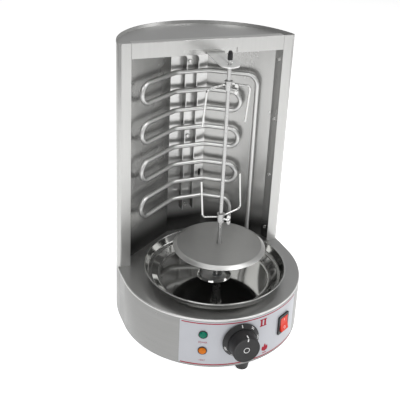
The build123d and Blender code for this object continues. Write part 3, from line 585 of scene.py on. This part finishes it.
def finishPiece(obj, slotName, body, *stoodFor, finish=None):
    obj.data.materials.clear()
    obj.data.materials.append(finish or finishes[slotName])
    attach(obj, body)
    if stoodFor:
        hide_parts(*stoodFor)


def softened(name, width):
    # rolled and sheared edges of a sheet-metal node catch a line of light
    obj = nodes[name]
    weld = obj.modifiers.new("weld", "WELD")
    weld.merge_threshold = 0.00002
    bevel = obj.modifiers.new("edges", "BEVEL")
    bevel.width = width
    bevel.segments = 2
    bevel.limit_method = "ANGLE"
    bevel.angle_limit = radians(40)
    bevel.harden_normals = False


softEdges = dict(housing_shell=0.0004, header_band=0.0004, top_lid=0.0006, base_shell=0.0003,
                 support_strap=0.0003, element_bracket=0.0003, switch_body=0.0005)
for name, width in softEdges.items():
    softened(name, width)

# painted light: the flat back of the cavity and the web of the bracket, which face the front, get a brighter,
# less metallic finish than the sides
for name in ("cavity_liner", "element_bracket"):
    nodes[name].data.materials.append(litBackFinish)
    for face in nodes[name].data.polygons:
        if face.normal.y < -0.9:
            face.material_index = 1

# painted highlight: the top plate's rolled edge gets a much lighter finish than its face
nodes["base_top_plate"].data.materials.append(rimHighlightFinish)
for face in nodes["base_top_plate"].data.polygons:
    if face.center.z > drumHigh.z - 0.001 and 0.05 < face.normal.z < 0.97:
        face.material_index = 1

print("drip pan")

pan = dict(hole=0.0245, lip=0.005, flare=0.0025, floor=0.091, ledge=0.104, ledgeOut=0.1085, ledgeUp=0.0102,
           ledgeSlope=0.0005, sheet=0.0008, bead=0.0011, bend=0.0035)


def makePan():
    low, high = (Vector(corner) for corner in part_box("drip_pan"))
    radius, height = (high.x - low.x) / 2, high.z - low.z
    sheet, bead = pan["sheet"], pan["bead"]
    rim = (radius - bead, height - bead)
    inside = rounded([(pan["hole"], pan["lip"]), (pan["hole"] + pan["flare"], sheet), (pan["floor"], sheet),
                      (pan["ledge"], pan["ledgeUp"]), (pan["ledgeOut"], pan["ledgeUp"] + pan["ledgeSlope"]),
                      (rim[0] - bead * 0.9, rim[1])], pan["bend"])
    turns = [radians(a) for a in range(170, -61, -23)]  # the beaded rim, from its inner side over the top
    roll = [(rim[0] + bead * cos(a), rim[1] + bead * sin(a)) for a in turns]
    outside = thickened(inside, sheet)
    outside = [(r, max(z, 0)) for r, z in outside]
    profile = inside[:-1] + roll + outside[::-1][1:] + [inside[0]]
    obj = turned("dripPan", profile, sides=160, smooth=40)
    put(obj, Matrix.Translation(((low.x + high.x) / 2, (low.y + high.y) / 2, low.z)))
    finishPiece(obj, "pan_steel", "pan", "drip_pan")


makePan()

print("heating element")

element = dict(kneeInset=0.023, kneeDepth=0.0228, backHalf=0.033, chord=0.013, liner=0.001, gap=0.014,
               tube=0.004, rows=8, lowest=0.173, legOuter=0.0985, legInner=0.0705, turnLeft=0.104,
               turnRight=0.0765, legBend=0.018, kneeBend=0.020, tangent=0.00005)


def filleted(stops, bends, steps=9):
    # the route's runs with an arc of its own radius at each corner
    line = [stops[0]]
    for before, corner, after, radius in zip(stops, stops[1:], stops[2:], bends):
        into, out = (corner - before).normalized(), (after - corner).normalized()
        angle = into.angle(out)
        inward = (out - into * cos(angle)).normalized()
        centre = corner - into * radius * tan(angle / 2) + inward * radius
        for step in range(steps + 1):
            a = angle * step / steps
            line.append(centre - inward * radius * cos(a) + into * radius * sin(a))
    return line + [stops[-1]]


def makeElement():
    low, high = (Vector(corner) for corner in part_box("heating_element"))
    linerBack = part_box("cavity_liner")[1][1] - element["liner"]
    depth = linerBack - backCentre - element["chord"] - element["kneeDepth"]
    lean = atan2(depth, drumRadius - element["kneeInset"] - element["backHalf"])
    kneeX = element["backHalf"] - element["gap"] * tan(lean / 2)
    kneeY = linerBack - element["gap"]
    top = high.z - element["tube"]
    rows, floorZ = element["rows"], low.z
    pitch = (top - element["lowest"]) / (rows - 1)
    turnBend = pitch / 2 - element["tangent"]

    def spot(x, z):
        return Vector((x, kneeY - tan(lean) * max(abs(x) - kneeX, 0), z))

    stops, bends = [spot(element["legOuter"], floorZ), spot(element["legOuter"], top)], [element["legBend"]]
    for number in range(rows):
        z = top - pitch * number
        leftward = number % 2 == 0
        ends = (element["turnRight"], -element["turnLeft"])
        if number:
            stops.append(spot(ends[0] if leftward else ends[1], z))
            bends.append(turnBend)
        stops += [spot(kneeX, z), spot(-kneeX, z)] if leftward else [spot(-kneeX, z), spot(kneeX, z)]
        bends += [element["kneeBend"]] * 2
        if number < rows - 1:
            stops.append(spot(ends[1] if leftward else ends[0], z))
            bends.append(turnBend)
    stops += [spot(element["legInner"], top - pitch * (rows - 1)), spot(element["legInner"], floorZ)]
    bends.append(element["legBend"])
    line = filleted(stops, bends)
    curve = bpy.data.curves.new("elementTube", "CURVE")
    curve.dimensions = "3D"
    curve.bevel_depth = element["tube"]
    curve.bevel_resolution = 7
    curve.use_fill_caps = True
    spline = curve.splines.new("POLY")
    spline.points.add(len(line) - 1)
    for point, place in zip(spline.points, line):
        point.co = (*place, 1)
    obj = bpy.data.objects.new("elementTube", curve)
    bpy.context.collection.objects.link(obj)
    pick(obj)
    bpy.ops.object.convert(target="MESH")
    obj = bpy.context.object
    bpy.ops.object.mode_set(mode="EDIT")
    bpy.ops.mesh.select_all(action="SELECT")
    bpy.ops.mesh.remove_doubles(threshold=0.00001)
    bpy.ops.mesh.normals_make_consistent(inside=False)
    bpy.ops.object.mode_set(mode="OBJECT")
    bpy.ops.object.shade_smooth_by_angle(angle=radians(50))
    finishPiece(obj, "tube_steel", "casing", "heating_element")


makeElement()

print("meat disc")

disc = dict(bore=0.0031, bend=0.0008, flat=0.0685, sheet=0.0015, inset=0.0002, edge=0.0006)


def makeDisc():
    low, high = (Vector(corner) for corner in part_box("meat_disc"))
    radius, drop, sheet = (high.x - low.x) / 2, high.z - low.z, disc["sheet"]
    outer = radius - disc["inset"]
    top = [(disc["bore"], 0), (disc["flat"], 0), (outer, -drop + disc["edge"]), (outer, -drop)]
    under = [(radius - sheet, -drop), (disc["flat"] - sheet / 2, -sheet), (disc["bore"], -sheet)]
    top, under = rounded(top, disc["bend"], 4), rounded(under, disc["bend"], 4)
    obj = turned("meatDisc", top + under + [top[0]], sides=160, smooth=25)
    put(obj, Matrix.Translation((spit.x, spit.y, high.z)))
    finishPiece(obj, "inner_steel", "spit", "meat_disc", finish=discFinish)
    obj.data.materials.append(bevelFinish)
    obj.data.materials.append(discUnderShade)
    # faces turned down get the painted shade of the underside; the sloped rim gets the bevel finish
    for face in obj.data.polygons:
        reach = (Vector(face.center.xy) - Vector(spit.xy)).length
        if face.normal.z < -0.1:
            face.material_index = 2
        elif reach > disc["flat"] and face.normal.z > 0.1:
            face.material_index = 1


makeDisc()

print("spit cap")

cap = dict(foot=0.62, lip=0.9, shoulder=0.62, chamfer=(0.84, 0.86), crown=0.45, lift=0.0004, step=0.001,
           edge=0.0003)


def makeCap():
    low, high = (Vector(corner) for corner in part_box("spit_cap"))
    radius, height = (high.x - low.x) / 2, high.z - low.z
    out, up = cap["chamfer"]
    profile = [(radius * cap["foot"], cap["lift"]), (radius * cap["lip"], 0), (radius, cap["step"]),
               (radius, height * cap["shoulder"]), (radius * out, height * up),
               (radius * cap["crown"], height), (pole, height)]
    obj = turned("spitCap", profile, sides=10, smooth=0)
    put(obj, Matrix.Translation((spit.x, spit.y, low.z)))
    bevel = obj.modifiers.new("edges", "BEVEL")
    bevel.width = cap["edge"]
    bevel.segments = 2
    bpy.ops.object.modifier_apply(modifier="edges")
    finishPiece(obj, "black_plastic", "spit", "spit_cap")


makeCap()

print("thermostat knob")

knob = dict(angle=-4.5, stand=0.001, bore=0.004, skirt=0.0295, rim=0.0009, neck=0.0236, thick=0.006,
            bend=0.0004, grip=0.0224, gripEnd=0.0214, length=0.02, round=0.0009, heel=(0.0006, 0.0008),
            slope=0.0001, ledge=0.0192, sunk=0.0186, recess=0.0003, pip=0.002)
dial = dict(numerals=("50", "100", "150", "200", "250", "300"), first=40, step=42, size=0.0054,
            tick=(0.0011, 0.0045))
pointer = dict(wide=0.0017, turn=-4, corner=0.00008, endLong=0.0050, endOut=0.0182, endThick=0.0005,
               endSunk=0.0001, sideLong=0.0060, sideOut=0.0216, sideThick=0.0002, sideBack=0.0038,
               sideTurn=93)
gripRing = dict(inner=0.0038, outer=0.0047, thick=0.00012, bend=0.00003)
ink = 0.00006  # a printed mark's middle stands this far off its surface
knobHeight = middle("knob_grip").z


def flatText(name, words, size, thick=0.00004):
    bpy.ops.object.select_all(action="DESELECT")
    bpy.ops.object.text_add()
    obj = bpy.context.object
    obj.name = name
    obj.data.body = words
    obj.data.size = size
    obj.data.extrude = thick
    obj.data.align_x = "CENTER"
    obj.data.align_y = "CENTER"
    bpy.ops.object.convert(target="MESH")
    obj = bpy.context.object
    bpy.ops.object.mode_set(mode="EDIT")
    bpy.ops.mesh.select_all(action="SELECT")
    bpy.ops.mesh.remove_doubles(threshold=0.000002)
    bpy.ops.mesh.normals_make_consistent(inside=False)
    bpy.ops.object.mode_set(mode="OBJECT")
    return obj


def flatBar(name, width, height, thick=0.00008, corner=0.0):
    bpy.ops.object.select_all(action="DESELECT")
    bpy.ops.mesh.primitive_cube_add(size=1)
    obj = bpy.context.object
    obj.name = name
    obj.scale = (width, height, thick)
    bpy.ops.object.transform_apply(location=True, rotation=True, scale=True)
    if corner:
        bevel = obj.modifiers.new("corners", "BEVEL")
        bevel.width = corner
        bevel.segments = 4
        bpy.ops.object.modifier_apply(modifier="corners")
    return obj


def makeKnob():
    base = onFront(knob["angle"], knob["stand"], knobHeight)
    bore, bend, foot = knob["bore"], knob["bend"], knob["thick"]
    profile = [(bore, 0), (knob["skirt"] - bend, 0), (knob["skirt"], bend), (knob["skirt"], knob["rim"]),
               (knob["neck"], foot), (bore, foot)]
    skirt = turned("knobSkirt", rounded(profile, bend, 3) + [(bore, 0)], smooth=30)
    put(skirt, base)
    finishPiece(skirt, "knob_grey", "knob", "knob_dial")
    end = foot + knob["length"]
    face = end - knob["recess"]
    heelIn, heelUp = knob["heel"]
    profile = [(bore, foot), (knob["grip"] - heelIn, foot), (knob["grip"], foot + heelUp),
               (knob["gripEnd"], end - knob["slope"]), (knob["ledge"], end), (knob["sunk"], face),
               (knob["pip"], face)]
    grip = turned("knobGrip", rounded(profile, knob["round"], 5) + [(pole, face)], smooth=30)
    put(grip, base)
    finishPiece(grip, "knob_grey", "knob", "knob_grip")

    # numerals and a tick on the skirt's slope
    lean = atan2(knob["skirt"] - knob["neck"], knob["thick"] - knob["rim"])
    reach, rise = (knob["skirt"] + knob["neck"]) / 2, (knob["rim"] + knob["thick"]) / 2
    slope = Matrix.Translation((0, reach, rise)) @ Matrix.Rotation(-pi / 2 + lean, 4, "X")
    slope = slope @ Matrix.Translation((0, 0, ink))
    for index, words in enumerate(dial["numerals"]):
        turn = Matrix.Rotation(-radians(dial["first"] + dial["step"] * index), 4, "Z")
        mark = flatText("dialNumeral" + words, words, dial["size"])
        put(mark, base @ turn @ slope)
        finishPiece(mark, "label_film", "knob", finish=printWhite)
    tick = flatBar("dialTick", *dial["tick"])
    put(tick, base @ slope)
    finishPiece(tick, "label_film", "knob", finish=printWhite)

    # the pointer runs over the grip's end edge
    aside = base @ Matrix.Rotation(radians(pointer["turn"]), 4, "Z")
    wide, corner = pointer["wide"], pointer["corner"]
    mark = flatBar("gripPointer", wide, pointer["endLong"], pointer["endThick"], corner)
    put(mark, aside @ Matrix.Translation((0, pointer["endOut"], end - pointer["endSunk"])))
    finishPiece(mark, "label_film", "knob", finish=printWhite)
    mark = flatBar("sidePointer", wide, pointer["sideLong"], pointer["sideThick"], corner)
    stood = Matrix.Rotation(radians(pointer["sideTurn"]), 4, "X")
    put(mark, aside @ Matrix.Translation((0, pointer["sideOut"], end - pointer["sideBack"])) @ stood)
    finishPiece(mark, "label_film", "knob", finish=printWhite)
    inner, outer, thick = gripRing["inner"], gripRing["outer"], gripRing["thick"]
    profile = rounded([(inner, 0), (outer, 0), (outer, thick), (inner, thick)], gripRing["bend"], 2)
    ring = turned("gripRing", profile + [(inner, 0)], sides=64)
    put(ring, base @ Matrix.Translation((0, 0, face)))
    finishPiece(ring, "label_film", "knob", finish=printWhite)


makeKnob()

print("lamps")

lampShape = dict(angle=-26.6, ring=0.0071, lens=0.0060, stand=0.0004, bezel=0.0010, crest=(0.0001, 0.0013),
                 lap=0.0004, seat=0.0006, bend=0.0002, sunk=0.0002, shoulder=0.0010, sides=14,
                 facets=((0.74, 0.0030), (0.5, 0.0034), (0.2, 0.0036)))


def makeLamp(node, slotName):
    base = onFront(lampShape["angle"], lampShape["stand"], middle(node).z)
    ring, lens, lap = lampShape["ring"], lampShape["lens"], lampShape["lap"]
    crestOut, crestUp = lampShape["crest"]
    profile = [(lens - lap, 0), (ring, 0), (ring, lampShape["bezel"]), (lens + crestOut, crestUp),
               (lens - lap, lampShape["seat"])]
    bezel = turned(node + "Bezel", rounded(profile, lampShape["bend"], 3) + [(lens - lap, 0)], sides=96)
    put(bezel, base)
    finishPiece(bezel, "black_plastic", "casing")
    facets = [(lens * part, up) for part, up in lampShape["facets"]]
    profile = [(lens - lampShape["sunk"], lampShape["sunk"]), (lens, lampShape["shoulder"])] + facets
    glass = turned(node + "Lens", profile + [(pole, facets[-1][1])], sides=lampShape["sides"], smooth=0)
    put(glass, base)
    finishPiece(glass, slotName, "casing", node)


makeLamp("green_lamp", "green_lens")
makeLamp("orange_lamp", "orange_lens")

print("printed panel")

prints = dict(lift=0.00042, lines=(0.0935, 0.0187), lineTall=0.0017, lineFrom=-39.5, lineTo=41.0)
bars = dict(angle=10.2, height=0.082, spread=1.25, stem=(0.0036, 0.0110), serif=(0.0062, 0.0018),
            serifUp=0.0058)
flame = dict(angle=12.8, height=0.0292, sides=24, point=0.5, reach=0.9, tall=0.7, lift=0.1, thick=0.00008,
             tongues=((-1.25, 0.0052, 0.0085, 12), (0.0, 0.0062, 0.0140, 0), (1.25, 0.0052, 0.0095, -12)),
             bar=(0.0075, 0.0014), barDrop=0.0062)
captions = dict(size=0.0039, rows=(("POWER", "green_lamp", 0.5), ("HEAT", "orange_lamp", 0.62)))


def makeLine(number, height):
    # a thin red line round the panel: a short tube, cut away outside the panel's two ends
    bpy.ops.object.select_all(action="DESELECT")
    radius = drumRadius + prints["lift"]
    bpy.ops.mesh.primitive_cylinder_add(vertices=480, radius=radius, depth=prints["lineTall"],
                                        end_fill_type="NOTHING", location=(0, frontCentre, height))
    obj = bpy.context.object
    obj.name = "panelLine" + str(number)
    bpy.ops.object.mode_set(mode="EDIT")
    for angle, side in ((prints["lineFrom"], -1), (prints["lineTo"], 1)):
        a = radians(angle)
        bpy.ops.mesh.select_all(action="SELECT")
        bpy.ops.mesh.bisect(plane_co=(0, frontCentre, height), plane_no=(side * cos(a), side * sin(a), 0),
                            clear_outer=True)
    bpy.ops.mesh.select_all(action="SELECT")
    bpy.ops.mesh.bisect(plane_co=(0, frontCentre, height), plane_no=(0, 1, 0), clear_outer=True)
    bpy.ops.object.mode_set(mode="OBJECT")
    bpy.ops.object.transform_apply(location=True, rotation=True, scale=True)
    bpy.ops.object.shade_smooth()
    finishPiece(obj, "red_rocker", "casing", finish=printRed)


def panelMark(name, obj, angle, height, turn=0.0):
    obj.name = name
    put(obj, onFront(angle, prints["lift"], height) @ Matrix.Rotation(radians(turn), 4, "Z"))
    finishPiece(obj, "red_rocker", "casing", finish=printRed)


def makeBar(number, side):
    at = bars["angle"] + side * bars["spread"]
    panelMark("barStem" + str(number), flatBar("bar", *bars["stem"]), at, bars["height"])
    panelMark("barHead" + str(number), flatBar("bar", *bars["serif"]), at, bars["height"] + bars["serifUp"])
    panelMark("barFoot" + str(number), flatBar("bar", *bars["serif"]), at, bars["height"] - bars["serifUp"])


def makeTongue(number, shift, width, height, turn):
    # a round drop whose top is drawn up into a point
    bpy.ops.object.select_all(action="DESELECT")
    bpy.ops.mesh.primitive_cylinder_add(vertices=flame["sides"], radius=0.5, depth=1)
    obj = bpy.context.object
    bpy.ops.object.mode_set(mode="EDIT")
    bpy.ops.mesh.select_all(action="DESELECT")
    bpy.ops.object.mode_set(mode="OBJECT")
    for vertex in obj.data.vertices:
        vertex.select = vertex.co.y > 0.49
    bpy.ops.object.mode_set(mode="EDIT")
    bpy.ops.transform.translate(value=(0, flame["point"], 0), use_proportional_edit=True,
                                proportional_edit_falloff="SHARP", proportional_size=flame["reach"])
    bpy.ops.object.mode_set(mode="OBJECT")
    obj.scale = (width, height * flame["tall"], flame["thick"])
    bpy.ops.object.transform_apply(location=False, rotation=False, scale=True)
    rise = flame["height"] + height * flame["lift"]
    panelMark("flameTongue" + str(number), obj, flame["angle"] + shift, rise, turn)


for number, height in enumerate(prints["lines"]):
    makeLine(number, height)
for number, side in enumerate((-1, 1)):
    makeBar(number, side)
for number, tongue in enumerate(flame["tongues"]):
    makeTongue(number, *tongue)
panelMark("flameBar", flatBar("bar", *flame["bar"]), flame["angle"], flame["height"] - flame["barDrop"])
lampGap = middle("green_lamp").z - middle("orange_lamp").z
for words, node, drop in captions["rows"]:
    mark = flatText("caption", words, captions["size"])
    panelMark("caption" + words, mark, lampShape["angle"], middle(node).z - lampGap * drop)

print("rocker marks")


def onSurface(node, angle, height):
    # where a line straight into the drum's front first meets a node, facing out of that surface
    out = Vector((sin(radians(angle)), -cos(radians(angle)), 0))
    start = Vector((0, frontCentre, height)) + out * (drumRadius + 0.05)
    spot, normal = nodes[node].ray_cast(start, -out)[1:3]
    side = Vector((0, 0, 1)).cross(normal).normalized()
    turn = Matrix((side, normal.cross(side), normal)).transposed().to_4x4()
    return Matrix.Translation(spot + normal * ink) @ turn


rocker = dict(angle=27.5, reach=0.0068, size=0.0062)
for words, way in (("I", 1), ("O", -1)):
    mark = flatText("rockerMark" + words, words, rocker["size"])
    height = middle("switch_rocker").z + way * rocker["reach"]
    put(mark, onSurface("switch_rocker", rocker["angle"], height))
    finishPiece(mark, "label_film", "rocker", finish=printWhite)

print("finish")
